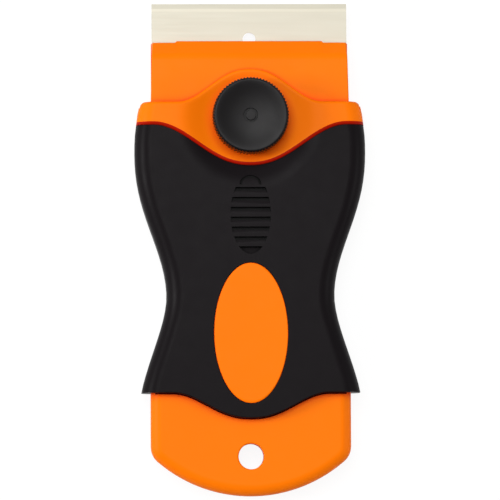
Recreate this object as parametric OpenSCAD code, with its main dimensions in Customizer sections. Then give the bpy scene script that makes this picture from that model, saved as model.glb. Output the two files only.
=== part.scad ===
// Razor blade scraper: a moulded two part handle whose jaws grip a wide single edged blade.
// A knurled knob on a bolt pulls the front half down on the back half. Backed off, it lets the
// front half tip open about the end of the tail, and the blade slides out forwards.
// The tool lies on its back: X runs across, Y along it with the blade towards +Y, Z up to the knob.
// The origin is on the surface that it lies on, under the middle of its length and width.

/* [Overall] */
// Length from the cutting edge to the end of the tail
tool_l = 160.3; // [150:0.1:190]
// Depth of the back half, from the back face to the joint between the halves
back_h = 8.5; // [7.5:0.1:12]
// Height of the front grip over that joint
front_h = 8.5; // [7.5:0.1:12]

/* [Blade] */
// Width of the blade, along its edge
blade_w = 63.5; // [50:0.1:64]
// Height of the blade, from its edge to its back
blade_h = 19.05; // [16:0.05:25]
// Thickness of the blade
blade_t = 0.6; // [0.3:0.05:1]
// How far the edge stands out of the front jaw
blade_out = 12.25; // [8:0.05:14]
// Length of each ground face
grind_l = 1.5; // [0.5:0.1:3]
// Thickness left at the cutting edge
edge_t = 0.1; // [0.05:0.01:0.2]
// Radius of the hole in the blade
blade_hole_r = 2.1; // [1:0.1:3]
// Distance of that hole from the cutting edge
blade_hole_in = 11.5; // [6:0.1:12]

/* [Handle outline] */
// Width at the widest place
widest_w = 75; // [72:0.1:90]
// Width at the waist
waist_w = 54.4; // [46:0.1:64]
// Width at the flared end of the grip
skirt_w = 71; // [67.5:0.1:90]
// Distance from the shoulder line back to the widest place
widest_in = 15.6; // [13:0.1:20]
// Distance from the shoulder line back to the waist
waist_in = 63.1; // [55:0.1:70]
// Radius of the side between the widest place and the shoulder
shoulder_r = 68; // [50:0.5:120]
// Radius of the shoulder's corner, seen from above
corner_r = 1.8; // [0.8:0.1:4]

/* [Edges of the grip] */
// Distance from the shoulder line back to the grip, at the sides
grip_in = 7.6; // [6:0.1:10]
// How much further back the grip begins in the middle
upper_sag = 13.1; // [8:0.1:16]
// Half the width over which the grip's front edge curves
upper_reach = 31.4; // [26:0.1:33]
// How far the grip's rear edge bulges over the tail in the middle
lower_sag = 8.2; // [2:0.1:11]
// Half the width over which that bulge lies
lower_reach = 25.3; // [20:0.1:30]
// Thickness of the rubber
grip_t = 1.8; // [1:0.1:2.5]
// Reach of the rounded edge in from the side
roll_r = 5.5; // [3:0.1:8]
// Height of the rounded edge
roll_h = 5.5; // [3:0.1:6.5]

/* [Shoulder and hub] */
// How much the shoulder stands over the grip
shoulder_up = 0.8; // [0.3:0.1:1.5]
// How far the hub under the knob reaches in front of the shoulder line
hub_l = 10.7; // [6:0.1:14]
// Half the width over which the shoulder runs into the hub
hub_reach = 23.3; // [18:0.1:28]
// Height of the hub's flat over the joint
hub_h = 6.9; // [6.6:0.1:7.4]
// Radius of the hub's flat, at the foot of the dish
dish_r = 13.6; // [13.2:0.1:17]
// Radius of the dish's rim
dish_rim_r = 21.5; // [18:0.1:24]

/* [Head] */
// Length of the head in front of the shoulder line
head_l = 20.4; // [17:0.1:26]
// Width of the front jaw at its lip
lip_w = 62.8; // [50:0.1:66]
// Width of the front jaw at the shoulder
root_w = 64.3; // [60:0.1:68]
// Width of the back jaw
back_jaw_w = 64; // [60:0.1:68]
// Height of the front jaw's lip over the joint
lip_h = 2; // [1:0.1:3]
// Length of the slope behind the front lip
slope_l = 5.3; // [3:0.1:8]
// Height of the front jaw behind that slope
slope_h = 5.6; // [4:0.1:5.9]
// Height of the front jaw at the shoulder line
root_h = 6.3; // [5.6:0.1:6.5]
// How far the middle of the lip stands proud
lip_step = 0.5; // [0.2:0.1:1]
// Width of that middle part of the lip
lip_mid_w = 47.2; // [30:0.1:52]
// Corner cut at each end of the lip
lip_corner = 0.9; // [0.5:0.1:2.5]
// Depth of the back jaw at its lip, below the joint
back_lip_h = 2.2; // [1.6:0.1:3]
// Depth of the back jaw behind its slope, below the joint
back_slope_h = 4.2; // [3.2:0.1:5]
// Depth of the back jaw at the shoulder line, below the joint
back_root_h = 5; // [4.2:0.1:6]

/* [Tail] */
// Length of the tail behind the sides of the grip
tail_l = 33.45; // [30:0.05:40]
// Width of the tail
tail_w = 65.25; // [58:0.05:66]
// Thickness of the tail on each side of the joint
tail_h = 5; // [4.6:0.1:5.6]
// Radius of the tail's end
tail_r = 45; // [40:0.5:60]
// Radius of the tail's corners
tail_corner_r = 7; // [5:0.1:10]
// Rounding of the tail's edges
tail_roll = 3.8; // [2:0.1:4]
// Radius of the hanging hole
hang_r = 4.25; // [3:0.05:5]
// Distance of the hanging hole from the end of the tail
hang_in = 12.85; // [10:0.05:14]

/* [Window and thumb pad] */
// Half width of the oval window in the grip
oval_x = 11.95; // [8:0.05:14]
// Half length of the oval window
oval_y = 22.65; // [16:0.05:24]
// Distance of its middle in front of the grip's rear edge
oval_in = 19.2; // [18:0.1:22]
// Half width of the thumb pad
pad_x = 6.5; // [4:0.1:9]
// Half length of the thumb pad
pad_y = 12.9; // [9:0.1:13]
// Distance of its middle behind the knob's axis
pad_in = 31.5; // [30:0.1:33]
// Number of grooves in the pad
pad_n = 7; // [4:1:8]
// Distance from groove to groove
pad_pitch = 3.18; // [2.6:0.02:3.4]
// Length of each groove
groove_l = 2; // [1:0.1:2.4]
// Depth of each groove
groove_h = 0.8; // [0.3:0.1:0.9]

/* [Clamp] */
// Distance of the knob's axis behind the shoulder line
axis_in = 5.2; // [4:0.1:7]
// Radius of the bolt
bolt_r = 3; // [2.5:0.1:3.2]
// Width of the bolt's hexagonal head across its flats
head_af = 10; // [8:0.1:12]
// Height of that head
head_h = 4; // [3:0.1:4.5]
// How deep the head lies in the back face
head_in = 1.2; // [0.5:0.1:1.8]
// How far inside the insert's end the bolt ends
bolt_in = 0.4; // [0.2:0.1:1]
// Radius of the washer
washer_r = 7; // [5.5:0.1:7.5]
// Thickness of the washer
washer_t = 1; // [0.5:0.1:1.5]
// Radius of the hole in the front half
front_hole_r = 3.6; // [3.5:0.05:4.5]

/* [Knob] */
// Radius of the knob over its knurls
knob_r = 12.3; // [11:0.1:13]
// Height of the knob
knob_h = 9.5; // [9:0.1:12]
// Number of knurls
knurl_n = 72; // [48:2:90]
// Depth of the knurls
knurl_d = 0.4; // [0.2:0.05:0.6]
// Depth of the hollow in the knob's face
face_h = 1.1; // [0.4:0.1:1.4]
// Width of the rim around that hollow
rim_w = 0.9; // [0.5:0.1:2]
// Outer radius of the ring mark in the middle
mark_r = 2.15; // [1.2:0.05:3]
// Width of the ring mark's groove
mark_w = 0.5; // [0.2:0.05:0.8]
// Depth of that groove
mark_h = 0.4; // [0.2:0.05:0.6]
// Radius of the threaded insert
insert_r = 4.5; // [4.2:0.1:5.5]
// Length of the threaded insert
insert_l = 6.6; // [5:0.1:7]

/* [Inside] */
// Thickness of the moulded walls round the core cells
wall_t = 2.2; // [1.5:0.1:3]
// Thickness of the ribs between the cells
rib_t = 1.6; // [1:0.1:2.5]
// Distance from cell to cell across the handle
cell_x = 14.1; // [10:0.1:14.5]
// Distance from cell to cell along the handle
cell_y = 12.4; // [9:0.1:12.6]
// Cells across the handle
cells_across = 4; // [2:2:4]
// Cells along the handle
cells_along = 5; // [3:1:5]
// Radius of the locating pins
pin_r = 2.2; // [1.5:0.1:3]
// Length of the locating pins
pin_l = 3.4; // [2:0.1:4]
// Distance of each locating pin from the middle
pin_x = 27; // [24:0.1:28]
// Width of each tail hook
hook_w = 4; // [2.5:0.1:6]
// Thickness of the hook's post
hook_t = 2; // [1.5:0.1:2.5]
// Length of the hook's toe beyond its post
toe_l = 1.5; // [0.8:0.1:1.8]
// Thickness of the hook's toe
toe_h = 1.4; // [1:0.1:1.6]
// Depth of the hook below the joint
hook_h = 3.5; // [3:0.1:3.6]
// Distance of each hook from the middle
hook_x = 13; // [10:0.1:15]
// Distance of the toe's tip from the end of the tail
hook_in = 6.2; // [5.5:0.1:7]

/* [Hidden] */

// Clearances and overruns
blade_gap = 0.05;
seat_gap = 0.05;
hex_gap = 0.15;
shank_gap = 0.1;
thread_gap = 0.05;
washer_gap = 0.2;
insert_gap = 0.02;
pin_gap = 0.25;
hook_gap = 0.3;
over = 1;
core_lap = 3;

// Small sizes of the bolt and the knob
bolt_tip = 0.5;
knob_wall = 1.5;
knob_lift = 0.4;
knob_bevel = 0.6;
knurl_sink = 0.3;

// Counts of points along the curves
side_n = 26;
curve_n = 32;
corner_n = 5;
roll_n = 5;
tail_n = 10;
oval_n = 56;
face_n = 6;
$fn = 72;

// Shares that shape the curves, each a power or a part of its own curve
upper_side_share = 1.15;
lower_side_share = 0.85;
flare_share = 1.4;
upper_edge_share = 1.12;
other_edge_share = 1.15;
end_share = 0.97;
tip_share = 0.2;
corner_shares = [[0.15, -1.35], [-0.29, -0.29], [-1, 0]];

// Places along the tool
edge_y = tool_l / 2;
tail_y = -tool_l / 2;
lip_y = edge_y - blade_out;
shoulder_y = lip_y - head_l;
widest_y = shoulder_y - widest_in;
waist_y = shoulder_y - waist_in;
grip_y = shoulder_y - grip_in;
skirt_y = tail_y + tail_l;
axis_y = shoulder_y - axis_in;
oval_mid_y = skirt_y + oval_in;
pad_mid_y = axis_y - pad_in;
hang_y = tail_y + hang_in;
seat_y = edge_y - blade_h - seat_gap;

// Heights
part_z = back_h;
hub_z = part_z + hub_h;
knob_z = hub_z + washer_t;
roof_h = knob_h / 2;

// Smooth step from 0 to 1
function ease(t) = (1 - cos(180 * min(max(t, 0), 1))) / 2;

// Half width of the handle at a place along it
function flare(y) = ease(pow((waist_y - y) / (waist_y - skirt_y) / flare_share, lower_side_share));
function half_w(y) =
    y > widest_y ? widest_w / 2 - shoulder_r + sqrt(pow(shoulder_r, 2) - pow(y - widest_y, 2))
    : y > waist_y ? widest_w / 2 - (widest_w - waist_w) / 2
        * ease(pow((widest_y - y) / (widest_y - waist_y), upper_side_share))
    : waist_w / 2 + (skirt_w - waist_w) / 2 * flare(y) / flare(skirt_y);

// A curved edge across the handle: side_y at the sides, moved by sag in the middle
function wave(x, side_y, sag, reach, share) =
    side_y + sag * (1 - ease(pow(abs(x) / reach, share)));
function upper_edge(x) = wave(x, grip_y, -upper_sag, upper_reach, upper_edge_share);
function lower_edge(x) = wave(x, skirt_y, -lower_sag, lower_reach, other_edge_share);
function front_edge(x) = wave(x, shoulder_y, hub_l, hub_reach, other_edge_share);

// Places across such an edge: its two ends, and points along the curve between them
function edge_xs(end, reach) = let (curved = min(reach, end_share * end))
    concat([-end], [for (i = [0 : curve_n]) curved * (2 * i / curve_n - 1)], [end]);

// Closed solid through a stack of rings with equally many points, lowest ring first. The ends are
// closed by strips from side to side, as the rings mirror themselves and may be hollowed at a waist.
module skin(rings) {
    n = len(rings[0]);
    m = len(rings);
    strips = [for (i = [0 : n / 2 - 2]) [i, i + 1, n - 2 - i, n - 1 - i]];
    polyhedron(
        points = [for (ring = rings) each ring],
        faces = concat(
            strips,
            [for (k = [0 : m - 2], i = [0 : n - 1]) let (j = (i + 1) % n)
                each [[k * n + i, (k + 1) * n + i, (k + 1) * n + j], [k * n + i, (k + 1) * n + j, k * n + j]]],
            [for (s = strips) [for (i = [3 : -1 : 0]) (m - 1) * n + s[i]]]));
}

// Steps [inset, height] up a side with a rounded top edge
function rolled(inset, low, top_h, reach, height) = concat([[inset, low]],
    [for (k = [0 : roll_n]) let (a = 90 * k / roll_n)
        [inset + reach * (1 - cos(a)), top_h - height * (1 - sin(a))]]);

// The handle's full form over the joint, run on past the grip and the hub
function handle_ring(inset, h) = let (
        low = skirt_y - lower_sag - over,
        high = shoulder_y + hub_l + over,
        ys = [for (i = [0 : side_n]) low + (high - low) * i / side_n])
    concat([for (y = ys) [half_w(y) - inset, y, h]],
        [for (i = [side_n : -1 : 0]) [inset - half_w(ys[i]), ys[i], h]]);

module handle_form(inset, low, top_h) {
    skin([for (s = rolled(inset, low, top_h, roll_r, roll_h - inset)) handle_ring(s[0], s[1])]);
}

// Upright prism between the grip's two edges, its rear edge moved in by rear and its front by lap
module grip_band(rear, lap, h) {
    end = widest_w / 2 + over;
    translate([0, 0, -2 * over]) linear_extrude(h + 3 * over) polygon(concat(
        [for (x = edge_xs(end, lower_reach)) [x, lower_edge(x) + rear]],
        [for (x = edge_xs(end, upper_reach)) [-x, upper_edge(x) + lap]]));
}

// Upright prism between the grip's front edge and the shoulder's front, with its corners rounded
module shoulder_band(h) {
    end = widest_w / 2 + over;
    side = half_w(shoulder_y);
    corner = [for (c = corner_shares) [side + c[0] * corner_r, shoulder_y + c[1] * corner_r]];
    round_y = corner[0][1];
    translate([0, 0, -over]) linear_extrude(h + 2 * over) polygon(concat(
        [for (x = edge_xs(end, upper_reach)) [x, upper_edge(x)]],
        [[end, round_y]], corner,
        [for (x = edge_xs(side - 2 * corner_r, hub_reach)) [-x, front_edge(x)]],
        [for (i = [len(corner) - 1 : -1 : 0]) [-corner[i][0], corner[i][1]]], [[-end, round_y]]));
}

// The orange core under the rubber, which runs on into the shoulder and over the tail
module core_form(low, top_h) {
    intersection() {
        handle_form(grip_t, low, top_h - grip_t);
        grip_band(grip_t, core_lap, top_h);
    }
}

// The front half's core, lowered under the dish so that the rubber keeps its thickness there
module front_core(low) {
    difference() {
        core_form(low, front_h);
        dish(shoulder_up + grip_t);
    }
}

// The shoulder and the hub over the joint
module shoulder_form(top_h) {
    intersection() {
        handle_form(0, 0, top_h);
        shoulder_band(top_h);
    }
}

// Dish round the knob, lowered by drop where it runs on into the rubber
module dish(drop) {
    rim_h = front_h + shoulder_up;
    rise = (rim_h - hub_h) / (dish_rim_r - dish_r);
    translate([0, axis_y, 0]) rotate_extrude()
        polygon([[0, hub_h - drop], [dish_r, hub_h - drop],
            [dish_rim_r + over, rim_h - drop + over * rise], [0, rim_h - drop + over * rise]]);
}

// Half of the tail over the joint, from its own arcs inset by d
function tail_ring(d, h) = let (
        corner_x = tail_w / 2 - tail_corner_r,
        drop = sqrt(pow(tail_r - tail_corner_r, 2) - pow(corner_x, 2)),
        mid_y = tail_y + tail_r,
        turn = atan2(corner_x, drop),
        half = concat(
            [for (i = [0 : tail_n]) let (a = turn * max(i, tip_share) / tail_n)
                [(tail_r - d) * sin(a), mid_y - (tail_r - d) * (i == 0 ? 1 : cos(a))]],
            [for (i = [1 : corner_n]) let (a = (90 - turn) * (i / corner_n - 1))
                [corner_x + (tail_corner_r - d) * cos(a), mid_y - drop + (tail_corner_r - d) * sin(a)]],
            [[tail_w / 2 - d, skirt_y + grip_t + over]]))
    concat([for (p = half) [p[0], p[1], h]],
        [for (i = [len(half) - 1 : -1 : 0]) [-half[i][0], half[i][1], h]]);

module tail_form(low) {
    skin([for (s = rolled(0, low, tail_h, tail_roll, tail_roll)) tail_ring(s[0], s[1])]);
}

// Jaw over the joint, from its side profile and its plan
module jaw_form(w_lip, w_root, h_lip, h_slope, h_root) {
    root_y = axis_y;
    slope_y = lip_y - slope_l;
    intersection() {
        translate([-w_root / 2 - over, 0, 0]) rotate([90, 0, 90]) linear_extrude(w_root + 2 * over)
            polygon([[root_y, 0], [lip_y, 0], [lip_y, h_lip], [slope_y, h_slope],
                [shoulder_y, h_root], [root_y, h_root]]);
        translate([0, 0, -over]) linear_extrude(h_root + 2 * over)
            polygon([[-w_root / 2, root_y], [w_root / 2, root_y], [w_root / 2, shoulder_y],
                [w_lip / 2, lip_y - lip_step - lip_corner], [w_lip / 2 - lip_corner, lip_y - lip_step],
                [lip_mid_w / 2 + lip_step, lip_y - lip_step], [lip_mid_w / 2, lip_y],
                [-lip_mid_w / 2, lip_y], [-lip_mid_w / 2 - lip_step, lip_y - lip_step],
                [-w_lip / 2 + lip_corner, lip_y - lip_step], [-w_lip / 2, lip_y - lip_step - lip_corner],
                [-w_root / 2, shoulder_y]]);
    }
}

// Upright oval prism on the handle's middle line
module oval_prism(rx, ry, mid_y, h) {
    translate([0, mid_y, 0]) linear_extrude(h)
        polygon([for (i = [0 : oval_n - 1]) let (a = 360 * i / oval_n) [rx * cos(a), ry * sin(a)]]);
}

// Cells that lighten each half, open at the joint and parted by ribs
module core_cells(depth) {
    inner = grip_t + wall_t;
    low = grip_y - upper_sag - wall_t - cells_along * cell_y;
    ys = [for (i = [0 : side_n]) low + cells_along * cell_y * i / side_n];
    translate([0, 0, -over]) linear_extrude(depth + over) intersection() {
        polygon(concat([for (y = ys) [half_w(y) - inner, y]],
            [for (i = [side_n : -1 : 0]) [inner - half_w(ys[i]), ys[i]]]));
        for (i = [0 : cells_across - 1], j = [0 : cells_along - 1])
            translate([(i - cells_across / 2) * cell_x + rib_t / 2, low + j * cell_y + rib_t / 2])
                square([cell_x - rib_t, cell_y - rib_t]);
    }
}

// Places a form that is drawn over the joint on the back half, below it
module below_joint() {
    translate([0, 0, part_z]) mirror([0, 0, 1]) children();
}

module above_joint() {
    translate([0, 0, part_z]) children();
}

// Back half: core, shoulder, tail and lower jaw with the blade's seat and the bolt's hexagon
module back_shell() {
    color("darkorange") difference() {
        below_joint() difference() {
            union() {
                core_form(0, back_h);
                shoulder_form(back_h);
                tail_form(0);
                jaw_form(back_jaw_w, back_jaw_w, back_lip_h, back_slope_h, back_root_h);
            }
            core_cells(back_h - grip_t - wall_t);
            for (side = [-1, 1]) translate([side * pin_x, axis_y, -over])
                cylinder(h = pin_l + pin_gap + over, r = pin_r + pin_gap);
        }
        translate([-back_jaw_w / 2 - over, seat_y, part_z - blade_t - blade_gap])
            cube([back_jaw_w + 2 * over, blade_h + over, blade_t + blade_gap + over]);
        translate([0, axis_y, -over]) {
            cylinder(h = part_z + 2 * over, r = bolt_r + shank_gap);
            cylinder(h = head_in + head_h + over, r = (head_af / 2 + hex_gap) / cos(30), $fn = 6);
        }
        translate([0, hang_y, -over]) cylinder(h = part_z + 2 * over, r = hang_r);
        for (side = [-1, 1]) hook_slot(side);
    }
}

// Front half: core, window, shoulder, dished hub, tail and upper jaw, with pins and tail hooks
module front_shell() {
    color("darkorange") {
        above_joint() difference() {
            union() {
                front_core(0);
                intersection() {
                    handle_form(0, 0, front_h);
                    oval_prism(oval_x, oval_y, oval_mid_y, front_h + over);
                }
                shoulder_form(front_h + shoulder_up);
                tail_form(0);
                jaw_form(lip_w, root_w, lip_h, slope_h, root_h);
            }
            dish(0);
            core_cells(front_h - grip_t - wall_t);
            translate([0, axis_y, -over]) cylinder(h = hub_h + 2 * over, r = front_hole_r);
            translate([0, hang_y, -over]) cylinder(h = tail_h + 2 * over, r = hang_r);
        }
        for (side = [-1, 1]) {
            translate([side * pin_x, axis_y, part_z - pin_l]) cylinder(h = pin_l + over, r = pin_r);
            tail_hook(side);
        }
    }
}

// Hook under the front tail: a post with a toe that points to the tail's end
module tail_hook(side) {
    low = part_z - hook_h;
    translate([side * hook_x - hook_w / 2, tail_y + hook_in, low]) {
        cube([hook_w, toe_l + hook_t, toe_h]);
        translate([0, toe_l, 0]) cube([hook_w, hook_t, hook_h + over]);
    }
}

// Slot in the back tail: the hook drops in ahead of its place, then slides back under the ledge
module hook_slot(side) {
    low = part_z - hook_h - hook_gap;
    w = hook_w + 2 * hook_gap;
    translate([side * hook_x - w / 2, tail_y + hook_in - hook_gap, low]) {
        cube([w, 2 * toe_l + hook_t + 2 * hook_gap, toe_h + 2 * hook_gap]);
        translate([0, toe_l, 0]) cube([w, toe_l + hook_t + 2 * hook_gap, hook_h + hook_gap + over]);
    }
}

// Rubber moulded over the back half
module back_grip() {
    color("dimgray") below_joint() difference() {
        intersection() {
            handle_form(0, 0, back_h);
            grip_band(0, 0, back_h);
        }
        core_form(-over, back_h);
        tail_form(-over);
    }
}

// Rubber moulded over the front half, with the oval window and the grooved thumb pad
module front_grip() {
    color("dimgray") above_joint() difference() {
        intersection() {
            handle_form(0, 0, front_h);
            grip_band(0, 0, front_h);
        }
        front_core(-over);
        tail_form(-over);
        oval_prism(oval_x, oval_y, oval_mid_y, front_h + over);
        dish(shoulder_up);
        intersection() {
            oval_prism(pad_x, pad_y, pad_mid_y, front_h + over);
            pad_grooves();
        }
    }
}

// Grooves of the thumb pad: each is deepest at its front edge and runs out to the rear
module pad_grooves() {
    top = front_h;
    for (i = [0 : pad_n - 1])
        translate([-pad_x - over, pad_mid_y + pad_pitch * (pad_n - 1) / 2 - i * pad_pitch, 0])
            rotate([90, 0, 90]) linear_extrude(2 * (pad_x + over))
                polygon([[0, top + over], [0, top - groove_h], [-groove_l, top], [-groove_l, top + over]]);
}

// Single edged blade, ground on both faces, lying in the back jaw's seat
module blade() {
    mid = blade_t / 2;
    low = part_z - blade_t - blade_gap;
    color("gainsboro") difference() {
        translate([-blade_w / 2, edge_y, low]) rotate([90, 0, 90]) linear_extrude(blade_w)
            polygon([[-blade_h, 0], [-grind_l, 0], [0, mid - edge_t / 2], [0, mid + edge_t / 2],
                [-grind_l, blade_t], [-blade_h, blade_t]]);
        translate([0, edge_y - blade_hole_in, low - over])
            cylinder(h = blade_t + 2 * over, r = blade_hole_r);
    }
}

// Bolt with a hexagonal head held in the back half
module clamp_bolt() {
    shank_l = knob_z + insert_l - bolt_in - head_in - head_h;
    color("silver") translate([0, axis_y, head_in]) {
        cylinder(h = head_h, r = head_af / 2 / cos(30), $fn = 6);
        translate([0, 0, head_h]) rotate_extrude()
            polygon([[0, 0], [bolt_r, 0], [bolt_r, shank_l - bolt_tip], [bolt_r - bolt_tip, shank_l],
                [0, shank_l]]);
    }
}

// Washer between the hub and the knob
module clamp_washer() {
    color("lightgray") translate([0, axis_y, hub_z]) difference() {
        cylinder(h = washer_t, r = washer_r);
        translate([0, 0, -over]) cylinder(h = washer_t + 2 * over, r = bolt_r + washer_gap);
    }
}

// Knob: knurled rim, hollowed face with a ring mark, and a hub that holds the insert
module clamp_knob() {
    body_r = knob_r - knurl_d;
    hollow_r = body_r - knob_bevel - rim_w;
    color("black") translate([0, axis_y, knob_z]) difference() {
        union() {
            rotate_extrude() polygon(concat(
                [[0, 0], [washer_r, 0], [washer_r, roof_h], [body_r - knob_wall, roof_h],
                    [body_r - knob_wall, knob_lift], [body_r - knob_bevel, knob_lift],
                    [body_r, knob_lift + knob_bevel], [body_r, knob_h - knob_bevel],
                    [body_r - knob_bevel, knob_h]],
                [for (i = [0 : face_n]) let (a = 90 * i / face_n)
                    [hollow_r * cos(a), knob_h - face_h * sin(a)]]));
            difference() {
                translate([0, 0, knob_lift + knob_bevel])
                    linear_extrude(knob_h - knob_lift - 2 * knob_bevel)
                        polygon([for (i = [0 : 2 * knurl_n - 1]) let (
                                a = 180 * i / knurl_n, r = knob_r - (i % 2) * (knurl_d + knurl_sink))
                            [r * cos(a), r * sin(a)]]);
                cylinder(h = knob_h, r = body_r - knob_wall / 2);
            }
        }
        translate([0, 0, -over]) cylinder(h = insert_l + insert_gap + over, r = insert_r + insert_gap);
        translate([0, 0, knob_h - face_h - mark_h]) difference() {
            cylinder(h = face_h + over, r = mark_r);
            translate([0, 0, -over]) cylinder(h = face_h + 2 * over, r = mark_r - mark_w);
        }
    }
}

// Threaded insert in the knob, running on the bolt
module knob_insert() {
    color("goldenrod") translate([0, axis_y, knob_z]) difference() {
        cylinder(h = insert_l, r = insert_r);
        translate([0, 0, -over]) cylinder(h = insert_l + 2 * over, r = bolt_r + thread_gap);
    }
}

back_shell();
front_shell();
back_grip();
front_grip();
blade();
clamp_bolt();
clamp_washer();
clamp_knob();
knob_insert();
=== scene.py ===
import math

import bmesh
import bpy
from mathutils import Matrix, Vector


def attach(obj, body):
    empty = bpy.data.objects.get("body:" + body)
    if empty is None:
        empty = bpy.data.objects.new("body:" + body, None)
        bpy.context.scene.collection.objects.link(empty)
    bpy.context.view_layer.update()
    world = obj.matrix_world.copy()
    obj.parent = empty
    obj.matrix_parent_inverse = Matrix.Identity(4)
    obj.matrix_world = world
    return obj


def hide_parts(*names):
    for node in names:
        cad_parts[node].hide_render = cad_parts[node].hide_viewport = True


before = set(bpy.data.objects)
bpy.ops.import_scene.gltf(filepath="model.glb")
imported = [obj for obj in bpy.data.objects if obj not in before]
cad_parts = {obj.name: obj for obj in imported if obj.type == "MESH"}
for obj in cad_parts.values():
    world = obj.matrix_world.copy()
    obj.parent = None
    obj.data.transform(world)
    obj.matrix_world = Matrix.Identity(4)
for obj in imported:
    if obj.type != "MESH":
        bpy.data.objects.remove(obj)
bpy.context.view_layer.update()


# Back half of the handle: one moulding of orange ABS, waisted so that the hand closes on it. Its
# inner face is flat. The lower jaw with the blade's seat, the bolt's hexagon, the shoulder and the
# tail with its hanging hole are all part of it. Sizes are in millimetres.
MM = 0.001
# the joint's level, the depth of a half, the rubber on it, and how far the shoulder stands up
joint_z, half_depth, rubber_t, shoulder_up = 8.5, 8.5, 1.8, 0.8
top_z = joint_z + half_depth
# places along the handle, from the jaws to the tail
lip_y, shoulder_y, axis_y, grip_y, widest_y = 67.9, 47.5, 42.3, 39.9, 31.9
waist_y, skirt_y, hang_y, tail_y = -15.6, -46.7, -67.3, -80.15
# widths, the radius of the sides in front, and how full the curves into waist and skirt are
widest_w, waist_w, skirt_w, side_radius = 75.0, 54.4, 71.0, 68.0
waist_fullness, skirt_fullness, skirt_run_out = 1.15, 0.85, 1.4
# of each curved edge across the handle: its sag in the middle, how far out it curves, its fullness
grip_wave, skirt_wave, shoulder_wave = (-13.1, 31.4, 1.12), (-8.2, 25.3, 1.15), (10.7, 23.3, 1.15)
# radius of the long top edges and of the shoulder's own edges
roll, shoulder_roll = 5.5, 1.1
# a reach to the side and a height that are clear of every piece
past_side, past_top = 40, 30
stations = [-56.5, -53, -49.5, -44, -41, -38, -35, -32, -29, -26, -23, -20, -17, -14, -11, -8, -5,
            -2, 1, 4, 7, 10, 13, 16, 19, 22, 25, 28, 31, 34, 37, 43.5, 50, 54, 60]


def ease(t):
    """Smooth step from 0 to 1."""
    return (1 - math.cos(math.pi * min(max(t, 0), 1))) / 2


def flare(y):
    """How far the handle has widened again behind its waist. It still widens at the skirt."""
    return ease(((waist_y - y) / (waist_y - skirt_y) / skirt_run_out) ** skirt_fullness)


def half_w(y):
    """Half the handle's width at a place along it."""
    if y > widest_y:
        return widest_w / 2 - side_radius + math.sqrt(side_radius ** 2 - (y - widest_y) ** 2)
    if y > waist_y:
        step = ease(((widest_y - y) / (widest_y - waist_y)) ** waist_fullness)
        return widest_w / 2 - (widest_w - waist_w) / 2 * step
    return waist_w / 2 + (skirt_w - waist_w) / 2 * flare(y) / flare(skirt_y)


def wave(x, side_y, sag, reach, fullness):
    """A curved edge across the handle, moved by sag in the middle."""
    return side_y + sag * (1 - ease((abs(x) / reach) ** fullness))


def upper_edge(x):
    """Where the rubber ends at the shoulder."""
    return wave(x, grip_y, *grip_wave)


def lower_edge(x):
    """Where the rubber ends at the tail."""
    return wave(x, skirt_y, *skirt_wave)


def front_edge(x):
    """Where the shoulder ends at the jaws."""
    return wave(x, shoulder_y, *shoulder_wave)


def columns(count=44):
    """Places across the handle: past both sides, and points where an edge curves between them."""
    reach = grip_wave[1]
    curved = [reach * (2 * i / count - 1) for i in range(count + 1)]
    return [-past_side] + curved + [past_side]


def only(*pieces):
    """Makes these pieces the selection, the first one active."""
    bpy.ops.object.select_all(action="DESELECT")
    for piece in pieces:
        piece.select_set(True)
    bpy.context.view_layer.objects.active = pieces[0]


def fresh(name):
    """Names the new primitive and puts its place into its mesh."""
    piece = bpy.context.object
    piece.name = piece.data.name = name
    bpy.ops.object.transform_apply(location=True, rotation=True, scale=True)
    return piece


def block(name, low, high):
    """A box between two corners."""
    bpy.ops.object.select_all(action="DESELECT")
    middle = [(a + b) / 2 * MM for a, b in zip(low, high)]
    bpy.ops.mesh.primitive_cube_add(size=1, location=middle)
    bpy.context.object.scale = [(b - a) * MM for a, b in zip(low, high)]
    return fresh(name)


def edit(piece):
    only(piece)
    bpy.ops.object.mode_set(mode="EDIT")


def done():
    bpy.ops.object.mode_set(mode="OBJECT")


def pick(kind, test):
    """Selects the vertices, edges or faces whose points all pass a test of their place."""
    bpy.ops.mesh.select_mode(type=kind)
    bpy.ops.mesh.select_all(action="DESELECT")
    mesh = bmesh.from_edit_mesh(bpy.context.object.data)
    if kind == "VERT":
        for v in mesh.verts:
            v.select_set(test(v.co / MM))
    else:
        for part in (mesh.edges if kind == "EDGE" else mesh.faces):
            part.select_set(all(test(v.co / MM) for v in part.verts))
    mesh.select_flush_mode()
    bmesh.update_edit_mesh(bpy.context.object.data)


def pick_rim(one, other, place=lambda p: True):
    """Selects the edges between faces whose normals pass one test and the other."""
    bpy.ops.mesh.select_mode(type="EDGE")
    bpy.ops.mesh.select_all(action="DESELECT")
    mesh = bmesh.from_edit_mesh(bpy.context.object.data)
    mesh.normal_update()
    for e in mesh.edges:
        if len(e.link_faces) == 2 and place((e.verts[0].co + e.verts[1].co) / 2 / MM):
            a, b = (f.normal for f in e.link_faces)
            if (one(a) and other(b)) or (one(b) and other(a)):
                e.select_set(True)
    bmesh.update_edit_mesh(bpy.context.object.data)


def shift(x=0, y=0, z=0):
    bpy.ops.transform.translate(value=(x * MM, y * MM, z * MM))


def stretch(x, y, z, about=(0, 0, 0)):
    bpy.ops.transform.resize(value=(x, y, z), center_override=[c * MM for c in about])


def round_off(width, segments):
    bpy.ops.mesh.bevel(offset=width * MM, segments=segments, profile=0.5, affect="EDGES",
                       clamp_overlap=False)


def outward():
    """Turns every face of the open mesh outwards."""
    bpy.ops.mesh.select_all(action="SELECT")
    bpy.ops.mesh.normals_make_consistent(inside=False)


def merge_flats():
    """Makes one face of each flat area of the open mesh."""
    bpy.ops.mesh.select_all(action="SELECT")
    bpy.ops.mesh.dissolve_limited(angle_limit=math.radians(0.2))


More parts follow.
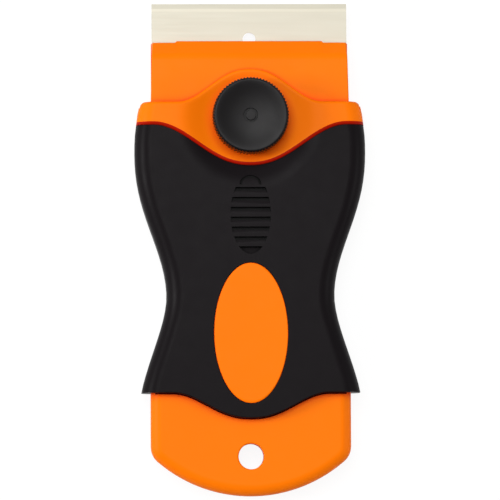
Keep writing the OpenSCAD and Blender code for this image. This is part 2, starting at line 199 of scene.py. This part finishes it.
def slice_at(axis, places):
    """Cuts the open mesh across at each place."""
    for place in places:
        bpy.ops.mesh.select_all(action="SELECT")
        normal = [float(i == axis) for i in range(3)]
        bpy.ops.mesh.bisect(plane_co=[place * MM * n for n in normal], plane_no=normal)


def combine(piece, *others, how="UNION"):
    """Joins other forms to a piece, cuts them out of it, or keeps what they have in common."""
    for other in others:
        only(piece)
        step = piece.modifiers.new("step", "BOOLEAN")
        step.operation, step.solver, step.object = how, "EXACT", other
        bpy.ops.object.modifier_apply(modifier=step.name)
        bpy.data.objects.remove(other)
        edit(piece)
        bpy.ops.mesh.select_all(action="SELECT")
        bpy.ops.mesh.remove_doubles(threshold=0.01 * MM)
        done()
    return piece


def handle_blank(name, inset, top):
    """The whole handle over the joint: a slab shaped to the outline, its long top edges rolled."""
    blank = block(name, (-1, stations[0], joint_z - 2), (1, stations[-1], top))
    edit(blank)
    slice_at(1, stations[1:-1])
    for y in stations:
        pick("VERT", lambda p: abs(p.y - y) < 0.01)
        stretch(half_w(y) - inset, 1, 1, (0, y, 0))
    pick_rim(lambda n: n.z > 0.9, lambda n: abs(n.x) > 0.5)
    round_off(roll - inset, 9)
    done()
    return blank


def band(name, rear, front, xs, low, high):
    """An upright prism between two curved edges across the handle."""
    prism = block(name, (xs[0], -1, low), (xs[-1], 1, high))
    edit(prism)
    slice_at(0, xs[1:-1])
    for x in xs:
        for side, edge in ((-1, rear), (1, front)):
            pick("VERT", lambda p: abs(p.x - x) < 0.01 and abs(p.y - side) < 0.001)
            shift(y=edge(x) - side)
    done()
    return prism


def draw_rings(y, radius, steps):
    """Draws the selected cap on and widens it, through [radius, rise] steps."""
    for next_radius, rise in steps:
        bpy.ops.mesh.extrude_region_move(TRANSFORM_OT_translate={"value": (0, 0, rise * MM)})
        stretch(next_radius / radius, next_radius / radius, 1, (0, y, 0))
        radius = next_radius


def turned(name, y, outline, points=96):
    """A turned form: a disc drawn up and widened ring by ring through [radius, height] pairs."""
    radius, low = outline[0]
    bpy.ops.object.select_all(action="DESELECT")
    bpy.ops.mesh.primitive_circle_add(vertices=points, radius=radius * MM, fill_type="NGON",
                                      location=(0, y * MM, low * MM))
    form = fresh(name)
    edit(form)
    bpy.ops.mesh.select_all(action="SELECT")
    draw_rings(y, radius, [(r, z - before) for (_, before), (r, z) in zip(outline, outline[1:])])
    outward()
    done()
    return form


def bore(name, radius, low, high, points=48):
    """What a plain hole round the bolt takes away."""
    return turned(name, axis_y, [(radius, low), (radius, high)], points)


hang_radius, hang_lip = 4.12, 0.6


def hang_hole(name, low, high):
    """What the hanging hole takes away between two levels, its mouths rounded."""
    turns = [math.radians(a) for a in range(90, -1, -15)]
    mouth = [(hang_radius + hang_lip * (1 - math.cos(a)), hang_lip * (1 - math.sin(a)))
             for a in turns]
    wide = hang_radius + hang_lip + 0.01
    outline = ([(wide, low - 1)] + [(r, low + d) for r, d in mouth]
               + [(r, high - d) for r, d in reversed(mouth)] + [(wide, high + 1)])
    return turned(name, hang_y, outline)


def upright(n):
    return abs(n.z) < 0.2


def level(n):
    return n.z > 0.3


# half the tail's width, the wide arc of its end, its two corners, and its height and rounded edge
tail_half, end_radius, end_corner, tail_top, tail_roll = 32.45, 46.2, 6.4, 13.5, 3.8
corner_x = tail_half - end_corner
corner_y = tail_y + end_radius - math.sqrt((end_radius - end_corner) ** 2 - corner_x ** 2)
corner_from = end_radius * corner_x / (end_radius - end_corner)


def tail_end(x):
    """The end of the tail: one wide arc between two rounded corners."""
    if abs(x) < corner_from:
        return tail_y + end_radius - math.sqrt(end_radius ** 2 - x * x)
    return corner_y - math.sqrt(max(end_corner ** 2 - (abs(x) - corner_x) ** 2, 0))


def tail_blank():
    """Half of the tail over the joint, its upper edge rounded."""
    wide = [corner_from * i / 16 for i in range(-16, 17)]
    first = math.asin((corner_from - corner_x) / end_corner)
    turns = [first + (math.pi / 2 - first) * i / 8 for i in range(1, 9)]
    ends = [corner_x + end_corner * math.sin(a) for a in turns]
    root = skirt_y + rubber_t + 1
    xs = [-x for x in reversed(ends)] + wide + ends
    tail = band("tail", tail_end, lambda x: root, xs, joint_z - 1.5, tail_top)
    edit(tail)
    merge_flats()
    pick_rim(upright, level, lambda p: p.y < root - 1)
    round_off(tail_roll, 8)
    done()
    return tail


def jaw_blank(w_lip, w_root, h_lip, h_slope, h_root):
    """A jaw over the joint: sloped behind its lip, the middle of the lip a little proud."""
    root_y, slope_y, mid, step = shoulder_y - 1, lip_y - 5.3, 23.6, 0.5
    slope_round, lip_round, edge_round = 1.6, 0.5, 0.45
    jaw = block("jaw", (-w_root / 2, axis_y, joint_z - 0.8), (w_root / 2, lip_y, joint_z + h_root))
    edit(jaw)
    slice_at(1, [root_y, slope_y])
    slice_at(0, [-mid - step, -mid, mid, mid + step])
    for y, height in ((lip_y, h_lip), (slope_y, h_slope)):
        pick("VERT", lambda p: abs(p.y - y) < 0.01 and p.z > joint_z + 1)
        shift(z=height - h_root)
    pick("VERT", lambda p: abs(p.y - lip_y) < 0.01 and abs(p.x) > mid + step / 2)
    shift(y=-step)
    for y in (lip_y - step, slope_y):
        share = (y - root_y) / (lip_y - step - root_y)
        pick("VERT", lambda p: abs(p.y - y) < 0.01 and abs(p.x) > w_root / 2 - 0.1)
        stretch(1 + share * (w_lip / w_root - 1), 1, 1, (0, y, 0))
    pick("EDGE", lambda p: abs(p.y - slope_y) < 0.01 and p.z > joint_z + 1)
    round_off(slope_round, 4)
    pick("EDGE", lambda p: abs(p.x) > mid + 2 and p.y > lip_y - step - 0.01)
    mesh = bmesh.from_edit_mesh(jaw.data)
    for e in mesh.edges:
        if abs(e.verts[0].co.z - e.verts[1].co.z) < MM:
            e.select_set(False)
    round_off(lip_round, 3)
    pick_rim(upright, level)
    round_off(edge_round, 3)
    done()
    return jaw


def handle_core():
    """What lies under the rubber, and runs on a little under the shoulder."""
    core = handle_blank("core", rubber_t, top_z - rubber_t)
    return combine(core, band("core_band", lambda x: lower_edge(x) + rubber_t,
                              lambda x: upper_edge(x) + 3, columns(), joint_z - 0.5, past_top),
                   how="INTERSECT")


def shoulder(top):
    """The collar in front of the rubber, its corners rounded and its edges rolled over."""
    corner, side = 1.8, half_w(shoulder_y)

    def front_end(x):
        over = min(max(abs(x) - side + corner, 0), corner)
        return front_edge(x) - corner + math.sqrt(corner ** 2 - over ** 2)

    arc = [side - corner * (1 - math.sin(math.radians(a))) for a in (15, 30, 45, 60, 75, 90)]
    xs = [-x for x in reversed(arc)] + columns()[1:-1] + arc
    form = handle_blank("shoulder", 0, top)
    combine(form, band("shoulder_band", upper_edge, front_end, [-past_side] + xs + [past_side],
                       joint_z - 1, past_top), how="INTERSECT")
    edit(form)
    merge_flats()
    pick_rim(lambda n: upright(n) and abs(n.y) > 0.3, lambda n: n.z > 0.15 and abs(n.y) < 0.28)
    round_off(shoulder_roll, 4)
    done()
    return form


def trim_below(piece):
    """Cuts a piece off level at the joint."""
    below = block("below", (-50, -90, joint_z - 5), (50, 90, joint_z))
    return combine(piece, below, how="DIFFERENCE")


def lay_below(piece):
    """Turns a form that was shaped over the joint to the underside."""
    edit(piece)
    bpy.ops.mesh.select_all(action="SELECT")
    stretch(1, 1, -1, (0, 0, joint_z))
    outward()
    done()


def finished(piece, angle=32):
    """Smooths the shading over rounded edges and keeps the flats flat."""
    only(piece)
    bpy.ops.object.shade_smooth_by_angle(angle=math.radians(angle))
    even = piece.modifiers.new("even", "WEIGHTED_NORMAL")
    even.keep_sharp = True
    bpy.ops.object.modifier_apply(modifier=even.name)


def feed(tree, node, inputs):
    """Gives each named input of a node a value, or a link from another node's output."""
    for key, given in inputs.items():
        if isinstance(given, bpy.types.NodeSocket):
            tree.links.new(given, node.inputs[key])
        else:
            node.inputs[key].default_value = given
    return node


def add(tree, kind, inputs):
    """Adds a shader node of a kind and feeds it."""
    return feed(tree, tree.nodes.new("ShaderNode" + kind), inputs)


def mixed(tree, share, one, other, how="MIX"):
    """Mixes two colours."""
    mix = tree.nodes.new("ShaderNodeMix")
    mix.data_type, mix.blend_type = "RGBA", how
    return feed(tree, mix, {0: share, 6: one, 7: other}).outputs[2]


def noise(tree, place, scale, detail):
    return add(tree, "TexNoise", {"Vector": place, "Scale": scale, "Detail": detail}).outputs["Fac"]


def tinted(tree, pattern, colour, low, high):
    """A colour that a pattern makes a little darker and lighter."""
    dark, light = ((*[min(c * share, 1) for c in colour], 1) for share in (low, high))
    return mixed(tree, pattern, dark, light)


def spread(tree, pattern, middle, by):
    """A number that a pattern moves up and down about its middle."""
    limits = {"Value": pattern, "To Min": middle - by, "To Max": middle + by}
    return add(tree, "MapRange", limits).outputs["Result"]


def relief(tree, pattern, strength, depth):
    inputs = {"Height": pattern, "Strength": strength, "Distance": depth}
    return add(tree, "Bump", inputs).outputs["Normal"]


def painted_corner_shade(tree, colour, corner_shade_colour):
    """Paints shade into a colour: it turns to the shade colour in the corners that face another
    surface within a few millimetres.
    """
    near = add(tree, "AmbientOcclusion", {"Distance": 4.5 * MM})
    near.samples = 8
    limits = {"Value": near.outputs["AO"], "From Min": 0.4, "From Max": 0.82}
    return mixed(tree, add(tree, "MapRange", limits).outputs["Result"], (*corner_shade_colour, 1), colour)


def new_material(name):
    """An empty material, with its node tree, its shader and the place on the piece."""
    material = bpy.data.materials.new(name)
    material.use_nodes = True
    tree = material.node_tree
    place = add(tree, "TexCoord", {}).outputs["Object"]
    return material, tree, tree.nodes["Principled BSDF"], place


def plastic(name, colour, corner_shade_colour, rough, shine, grain, bump):
    """Moulded plastic: an even colour, a little cloudy, with the fine grain of the mould, and
    painted shade in its corners.
    """
    material, tree, shader, place = new_material(name)
    tint = tinted(tree, noise(tree, place, 35, 3), colour, 0.96, 1.04)
    feed(tree, shader, {
        "Specular IOR Level": shine,
        "Base Color": painted_corner_shade(tree, tint, corner_shade_colour),
        "Roughness": spread(tree, noise(tree, place, 220, 2), rough, 0.05),
        "Normal": relief(tree, noise(tree, place, grain, 2), bump, 0.05 * MM)})
    return material


# its second colour is the deep red of painted shade in the corners, round the knob and along the
# steps
orange = plastic("orange_shell", (1.0, 0.186, 0.0), (1.0, 0.035, 0.0), rough=0.46, shine=0.06,
                 grain=2400, bump=0.12)
# the blade's seat, the hole for the bolt's shank and the pocket of its head
seat_half, seat_y, seat_depth = 33, 61.05, 0.65
shank_radius, head_radius, head_top = 3.1, 5.947, 5.2

back = handle_core()
combine(back, shoulder(top_z), tail_blank(),
        jaw_blank(w_lip=64, w_root=64, h_lip=2.2, h_slope=4.2, h_root=5))
trim_below(back)
lay_below(back)
back.name = back.data.name = "back_half_shell"
combine(back,
        block("seat", (-seat_half, seat_y, joint_z - seat_depth), (seat_half, 81, joint_z + 1)),
        bore("shank_hole", shank_radius, -1, 12),
        bore("hexagon", head_radius, -1, head_top, 6),
        hang_hole("hang_low", 3.5, 14), how="DIFFERENCE")
finished(back)
back.data.materials.append(orange)
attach(back, "back_half")
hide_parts("back_shell")


# Rubber of the back half: a soft near-black skin moulded over the core, with the same curved edges
# as the front one. It is matt and plain.
# its second colour is painted shade in the corners and grooves
rubber = plastic("black_rubber", (0.0075, 0.0058, 0.0068), (0.0004, 0.0003, 0.0003), rough=0.4,
                 shine=0.045, grain=1500, bump=0.25)


def grip_skin(name, cut, dished=False):
    """The skin over one half, before it is grooved."""
    skin = handle_blank(name, 0, top_z)
    if dished:
        press_dish(skin, y_from=18, above=16.9)
    combine(skin, band("skin_band", lower_edge, upper_edge, columns(), joint_z - 1, past_top),
            how="INTERSECT")
    combine(skin, *cut, how="DIFFERENCE")
    return trim_below(skin)


back_rubber = grip_skin("back_half_rubber", [handle_core(), tail_blank()])
lay_below(back_rubber)
finished(back_rubber)
back_rubber.data.materials.append(rubber)
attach(back_rubber, "back_half")
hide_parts("back_grip")


# Bolt: zinc-plated steel, M6, its hexagonal head held in the back half. The turned shank carries
# the washer and the knob.
def metal(name, colour, rough, fineness, bump):
    """Bare metal with fine lines left by rolling, turning or grinding, finer along some axes."""
    material, tree, shader, place = new_material(name)
    crowded = add(tree, "Mapping", {"Vector": place, "Scale": fineness}).outputs["Vector"]
    lines = noise(tree, crowded, 60, 4)
    feed(tree, shader, {
        "Metallic": 1,
        "Base Color": tinted(tree, lines, colour, 0.96, 1.03),
        "Roughness": spread(tree, lines, rough, 0.08),
        "Normal": relief(tree, lines, bump, 0.02 * MM)})
    return material


def finish_node(name, material):
    """Gives a solid that is right as it is its better material."""
    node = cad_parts[name]
    node.data.materials.clear()
    node.data.materials.append(material)


zinc = metal("zinc_plate", (0.62, 0.63, 0.62), rough=0.32, fineness=(1, 1, 20), bump=0.3)
finish_node("clamp_bolt", zinc)


# Blade: rolled carbon steel, 63.5 by 19.05 mm and 0.6 mm thick, ground from both faces to its edge,
# with a locating hole that the lip half covers. It lies loose in the seat of the lower jaw.
steel = metal("blade_steel", (0.74, 0.71, 0.61), rough=0.7, fineness=(1, 30, 1), bump=0.08)
tree = steel.node_tree
place = add(tree, "TexCoord", {}).outputs["Object"]
along = add(tree, "SeparateXYZ", {0: place}).outputs["Y"]
ground = add(tree, "MapRange", {"Value": along, "From Min": 76.5 * MM, "From Max": 80.5 * MM})
# painted light on the ground band: a painted shade line where the band starts, a painted highlight
# band, and a darker painted edge
bevel_light = add(tree, "ValToRGB", {0: ground.outputs["Result"]})
bevel_light_stops = bevel_light.color_ramp.elements
bevel_light_stops[0].position, bevel_light_stops[0].color = 0.25, (0.94, 0.94, 0.94, 1)
bevel_light_stops[1].position, bevel_light_stops[1].color = 0.58, (0.91, 0.91, 0.9, 1)
for highlight_at in (0.32, 0.46):
    bevel_light_stops.new(highlight_at).color = (1, 1, 1, 1)
shader = tree.nodes["Principled BSDF"]
plain = shader.inputs["Base Color"].links[0].from_socket
feed(tree, shader, {"Base Color": mixed(tree, 1, plain, bevel_light.outputs["Color"], "MULTIPLY")})
finish_node("blade", steel)


# Front half of the handle: orange ABS like the back, with the upper jaw, the shoulder that runs
# into the hub under the knob, a dish round the knob, the oval island in the rubber, and the tail.
flat_r, rim_r, dish_depth = 13.6, 21.5, 2.4
dish_side, dish_end = 24, 60


def soft_rise(t, soft=0.3):
    """0 to 1 along a straight slope whose two ends are eased over a share of its length."""
    def hinge(u):
        return 0 if u < -soft else u if u > soft else (u + soft) ** 2 / (4 * soft)
    return hinge(t) - hinge(t - 1)


def press_dish(piece, y_from, above):
    """Presses the dish round the knob into a piece's top: a flat, then an even rise."""
    edit(piece)
    slice_at(1, [y_from])
    across, forward = range(-dish_side, dish_side + 1), range(y_from + 1, dish_end)
    for axis, places in ((0, across), (1, forward)):
        for place in places:
            pick("FACE", lambda p: p.y > y_from - 0.01 and p.z > above and abs(p.x) < past_side)
            normal = (1 - axis, axis, 0)
            bpy.ops.mesh.bisect(plane_co=[place * MM * n for n in normal], plane_no=normal)
    for v in bmesh.from_edit_mesh(piece.data).verts:
        reach = math.hypot(v.co.x, v.co.y - axis_y * MM) / MM
        if v.co.z > above * MM:
            share = soft_rise((reach - flat_r) / (rim_r - flat_r))
            v.co.z -= dish_depth * MM * (1 - share)
    bmesh.update_edit_mesh(piece.data)
    lowest = above - dish_depth - 0.1
    pick("FACE", lambda p: p.y > y_from - 0.01 and p.z > lowest and abs(p.x) < dish_side + 2)
    bpy.ops.mesh.quads_convert_to_tris()
    done()


def oval(name, y, half_x, half_y, outline, points=96):
    """An upright oval form through [share of its size, height] pairs."""
    form = turned(name, 0, outline, points)
    edit(form)
    bpy.ops.mesh.select_all(action="SELECT")
    stretch(half_x, half_y, 1)
    shift(y=y)
    done()
    return form


window = (skirt_y + 19.2, 11.95, 22.65)  # its place, half width and half length
moat_w, moat_low, moat_high = 0.5, 12.7, 15

front = handle_core()
press_dish(front, y_from=18, above=15)
front_shoulder = shoulder(top_z + shoulder_up)
press_dish(front_shoulder, y_from=24, above=12)
island = oval("island", *window, [(1, 12), (1, 16.75), (0.985, 16.95), (0.96, 17.0)], 120)
combine(front, island, front_shoulder, tail_blank(),
        jaw_blank(w_lip=63.3, w_root=64.3, h_lip=1.4, h_slope=5.7, h_root=6.3))
trim_below(front)
combine(front, band("moat", lambda x: lower_edge(x) - moat_w, lambda x: lower_edge(x) + 0.5,
                    columns(), moat_low, moat_high), how="DIFFERENCE")
front.name = front.data.name = "front_half_shell"
combine(front, bore("front_hole", 3.6, 5, 20), hang_hole("hang_top", 3, 13.5), how="DIFFERENCE")
finished(front)

# painted shade: the dark red line between rubber and plastic, painted on the shoulder's rolled rear
# edge and the moat's floor, with more painted shade in its corners
painted_seam_shade = plastic("orange_seam_shade", (0.4, 0.007, 0.0), (0.1, 0.0, 0.0), rough=0.45, shine=0.05,
               grain=2400, bump=0.2)


def lies(face, edge, low, high):
    """Whether a face lies between two distances from a curved edge, measured square to it."""
    for v in face.verts:
        x, y = v.co.x / MM, v.co.y / MM
        away = (y - edge(x)) / math.hypot(1, edge(x + 0.5) - edge(x - 0.5))
        if not low < away < high:
            return False
    return True


front.data.materials.append(orange)
front.data.materials.append(painted_seam_shade)
# the faces of the rolled edge and of the moat's floor take the painted seam shade
edit(front)
bpy.ops.mesh.select_mode(type="FACE")
bpy.ops.mesh.select_all(action="DESELECT")
for face in bmesh.from_edit_mesh(front.data).faces:
    heights = [v.co.z / MM for v in face.verts]
    rolled = min(heights) > 11 and lies(face, upper_edge, -0.1, shoulder_roll + 0.06)
    sunk = max(heights) < moat_low + 0.6 and lies(face, lower_edge, -moat_w - 0.05, 0.6)
    face.select_set(rolled and face.normal.z > 0.1 or sunk and face.normal.z > 0.9)
bmesh.update_edit_mesh(front.data)
front.active_material_index = 1
bpy.ops.object.material_slot_assign()
done()
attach(front, "front_half")
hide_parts("front_shell")


# Rubber of the front half: the same skin, opened by an oval window round the island and grooved for
# the thumb. Each groove is deepest at its front edge.
pad_y, pitch = 10.05, 3.2


def wedge(name, y, length, depth, rear_depth=0.0):
    """What one groove takes away: deepest at its front, its floor rising to the rear."""
    form = block(name, (-8, y - length, top_z - depth), (8, y, top_z + 1))
    edit(form)
    pick("VERT", lambda p: p.y < y - length + 0.01 and p.z < top_z)
    shift(z=depth - rear_depth)
    done()
    return form


grooves = wedge("grooves", pad_y - pitch * 3, length=3, depth=1.1, rear_depth=0.3)
for i in range(-2, 4):
    y = pad_y + pitch * i
    combine(grooves, wedge("slot", y, length=1.15, depth=1.6, rear_depth=1.5),
            wedge("slope", y - 0.4, length=1.9, depth=0.5))
combine(grooves, oval("pad_oval", pad_y + 0.85, 6.5, 12.9, [(1, 15), (1, past_top)]),
        how="INTERSECT")
# the arched groove in front of them
arch_y = pad_y + 10.6
arch = oval("arch", arch_y, 3.5, 2.9, [(1, 15.45), (1, 18)])
combine(arch, oval("arch_core", arch_y, 2.7, 2.05, [(1, 15), (1, 19)]),
        block("arch_rear", (-5, pad_y + 7, 15), (5, pad_y + 10.4, 19)), how="DIFFERENCE")

opening = oval("window", *window, [(1, 5), (1, past_top)], 120)
front_core = handle_core()
press_dish(front_core, y_from=18, above=15)
front_rubber = grip_skin("front_half_rubber", [front_core, tail_blank(), opening], dished=True)
edit(front_rubber)
merge_flats()
pick_rim(upright, lambda n: n.z > 0.9, lambda p: p.z > top_z - 0.1 and p.y < 15)
round_off(0.3, 3)
done()
combine(front_rubber, grooves, arch, how="DIFFERENCE")
finished(front_rubber)
front_rubber.data.materials.append(rubber)
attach(front_rubber, "front_half")
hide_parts("front_grip")


# Washer: stamped steel, between the hub and the knob.
finish_node("clamp_washer", zinc)


# Knob: black moulded plastic with a fine knurl, a chamfer, a rim round a shallow hollow face, and a
# small ring mark in the middle. Underneath it is hollow, with a hub that holds the insert.
knob_z, knob_h, knob_r, valley_r, knurls = 16.4, 9.5, 12.3, 11.85, 72
knurl_low, knurl_high = knob_z + 1, knob_z + knob_h - 0.6
# [radius, rise] from the chamfer inwards, above: rim, hollow and ring mark
face_rings = ((11.74, 0.1), (11.6, 0.08), (11.35, 0.02), (11.0, -0.03), (10.4, -0.08),
              (9.6, -0.13), (8.6, -0.18), (7.4, -0.2), (6, -0.19), (4.4, -0.16), (2.8, -0.1),
              (2.33, -0.03), (2.25, -0.1), (2.2, -0.6), (1.68, 0), (1.64, 0.6), (1.56, 0.1),
              (1.4, 0), (0.5, 0))
# and below: wall, hollow and hub
hollow_rings = ((11.3, -0.1), (10.6, 0), (10.5, 0.1), (10.3, 4.1), (10.0, 0.25), (7.4, 0),
                (7.1, -0.2), (7.0, -4.55), (6.8, -0.1), (4.52, 0), (4.52, 6.62), (0.5, 0))


def valley(p):
    """Whether a point of the knob's side is at the bottom of a knurl."""
    angle = math.degrees(math.atan2(p.y - axis_y, p.x)) * knurls / 180
    return round(angle) % 2 == 1


def close_end(end, side, rise, radius, rings):
    """Closes one end: the knurls run out on a chamfer, then the cap is drawn ring by ring."""
    pick("FACE", lambda p: (p.z - end) * side > -0.01)
    bpy.ops.mesh.extrude_region_move(TRANSFORM_OT_translate={"value": (0, 0, rise * side * MM)})
    for low_points, from_r in ((False, knob_r), (True, valley_r)):
        pick("VERT", lambda p: (p.z - end) * side > 0.2 and valley(p) == low_points)
        stretch(radius / from_r, radius / from_r, 1, (0, axis_y, 0))
    pick("FACE", lambda p: (p.z - end) * side > 0.2)
    draw_rings(axis_y, radius, rings)


bpy.ops.object.select_all(action="DESELECT")
bpy.ops.mesh.primitive_cylinder_add(
    vertices=2 * knurls, radius=knob_r * MM, depth=(knurl_high - knurl_low) * MM,
    location=(0, axis_y * MM, (knurl_low + knurl_high) / 2 * MM))
knob = fresh("clamp_knob_body")
edit(knob)
pick("VERT", valley)
stretch(valley_r / knob_r, valley_r / knob_r, 1, (0, axis_y, 0))
close_end(knurl_high, 1, 0.4, 11.8, face_rings)
close_end(knurl_low, -1, 0.5, 11.4, hollow_rings)
outward()
done()
finished(knob, 28)
# its second colour is painted shade in the corners
knob.data.materials.append(plastic(
    "knob_plastic", (0.0056, 0.0047, 0.0051), (0.0005, 0.0004, 0.0004), rough=0.36, shine=0.12,
    grain=1800, bump=0.3))
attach(knob, "knob")
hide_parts("clamp_knob")


# Insert: turned brass, pressed into the knob's hub, threaded M6.
brass = metal("turned_brass", (0.75, 0.55, 0.25), rough=0.28, fineness=(1, 1, 20), bump=0.3)
finish_node("knob_insert", brass)


# Studio: a plain pale floor, a soft key light high over the blade end, two weaker lights from the
# sides, and a camera far above the tool. The floor shows white by its own colour only.
floor_mat = bpy.data.materials.new("floor")
floor_mat.use_nodes = True
tree = floor_mat.node_tree
tree.nodes.clear()
paint = add(tree, "BsdfDiffuse", {"Color": (0.8, 0.8, 0.8, 1)})
seen_paint = add(tree, "BsdfDiffuse", {"Color": (0.1, 0.1, 0.1, 1)})
glow = add(tree, "Emission", {"Strength": 0.92})
seen = add(tree, "AddShader", {0: seen_paint.outputs[0], 1: glow.outputs[0]})
ray = add(tree, "LightPath", {})
direct = add(tree, "Math", {0: ray.outputs["Is Camera Ray"], 1: ray.outputs["Is Glossy Ray"]})
direct.operation = "MAXIMUM"
either = add(tree, "MixShader", {0: direct.outputs[0], 1: paint.outputs[0], 2: seen.outputs[0]})
add(tree, "OutputMaterial", {"Surface": either.outputs[0]})
bpy.ops.object.select_all(action="DESELECT")
bpy.ops.mesh.primitive_plane_add(size=6, location=(0, 0, -0.3 * MM))
floor = bpy.context.object
floor.name = "floor"
floor.data.materials.append(floor_mat)

world = bpy.data.worlds.new("studio")
bpy.context.scene.world = world
world.use_nodes = True
sky = {"Color": (1, 1, 1, 1), "Strength": 0.3}
feed(world.node_tree, world.node_tree.nodes["Background"], sky)

lamps = (("key", (-0.14, 0.29, 1.26), 0.6, 9.8),
         ("left", (-1.1, 0.05, 0.55), 0.35, 8),
         ("right", (1.1, -0.05, 0.55), 0.35, 2.5))
for name, place, size, watts in lamps:
    light = bpy.data.lights.new(name, "AREA")
    light.size, light.energy = size, watts
    lamp = bpy.data.objects.new(name, light)
    bpy.context.scene.collection.objects.link(lamp)
    lamp.location = place
    lamp.rotation_euler = (-Vector(place)).to_track_quat("-Z", "Y").to_euler()

# the camera's place as seen from its aim, and how far it leans to the side
distance, azimuth, height, lean = 1.4, math.radians(-25.02), math.radians(85.92), -0.263
aim = Vector((-0.00002, -0.00025, 0.009))
towards = Vector((math.sin(azimuth) * math.cos(height), -math.cos(azimuth) * math.cos(height),
                  math.sin(height)))
across = Vector((0, 1, 0)).cross(towards).normalized()
view = Matrix((across, towards.cross(across), towards)).transposed().to_4x4()
view = view @ Matrix.Rotation(math.radians(lean), 4, "Z")
view.translation = aim + towards * distance
lens = bpy.data.cameras.new("camera")
lens.sensor_width, lens.lens, lens.clip_end = 36, 310.4, 20
camera = bpy.data.objects.new("camera", lens)
camera.matrix_world = view
bpy.context.scene.collection.objects.link(camera)
bpy.context.scene.camera = camera
bpy.context.scene.view_settings.view_transform = "Standard"
